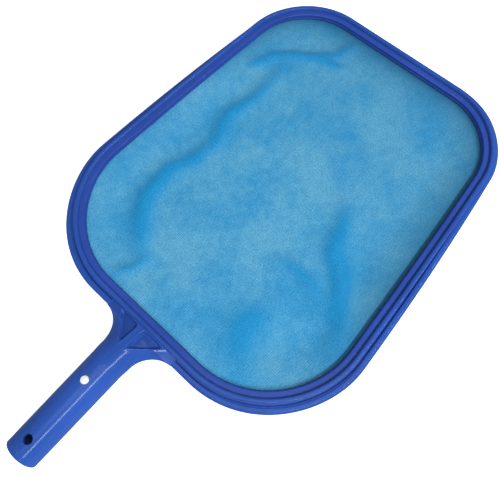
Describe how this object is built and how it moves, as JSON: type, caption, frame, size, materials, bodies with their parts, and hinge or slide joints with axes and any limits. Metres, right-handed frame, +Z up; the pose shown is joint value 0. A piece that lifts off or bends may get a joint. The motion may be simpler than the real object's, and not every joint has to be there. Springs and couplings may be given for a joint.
{
  "type": "pool skimmer net",
  "caption": "Flat pool skimmer head with a moulded rim, a snap-in ring that holds a fine net, and a hollow handle with a sprung button clip.",
  "frame": {"origin": "centre of the part's bounding box, on the plane the rim stands on", "axes": "+X along the handle from its open end to the front of the head, +Z up, out of the side the leaves are lifted on"},
  "size_m": [0.498, 0.3142, 0.0343],
  "materials": {
    "frame_plastic": "satin moulded polypropylene, blue",
    "ring_plastic": "satin moulded polypropylene, blue",
    "net_fabric": "fine woven polyester net, light blue",
    "clip_plastic": "matte white acetal"
  },
  "bodies": {
    "head": {"frame": "frame_plastic", "retaining_ring": "ring_plastic", "net": "net_fabric", "clip_bow": "clip_plastic"},
    "upper_leg": {"clip_leg_upper": "clip_plastic"},
    "lower_leg": {"clip_leg_lower": "clip_plastic"}
  },
  "joints": [
    {"name": "upper_button_press", "type": "hinge", "parent": "head", "child": "upper_leg", "pos_m": [-0.223, 0, 0.0211], "axis": [0, 1, 0], "range_deg": [0, 4], "stiffness_Nm_per_rad": 0.6, "springref_deg": -3.44},
    {"name": "lower_button_press", "type": "hinge", "parent": "head", "child": "lower_leg", "pos_m": [-0.223, 0, 0.0133], "axis": [0, -1, 0], "range_deg": [0, 4], "stiffness_Nm_per_rad": 0.6, "springref_deg": -3.44}
  ]
}
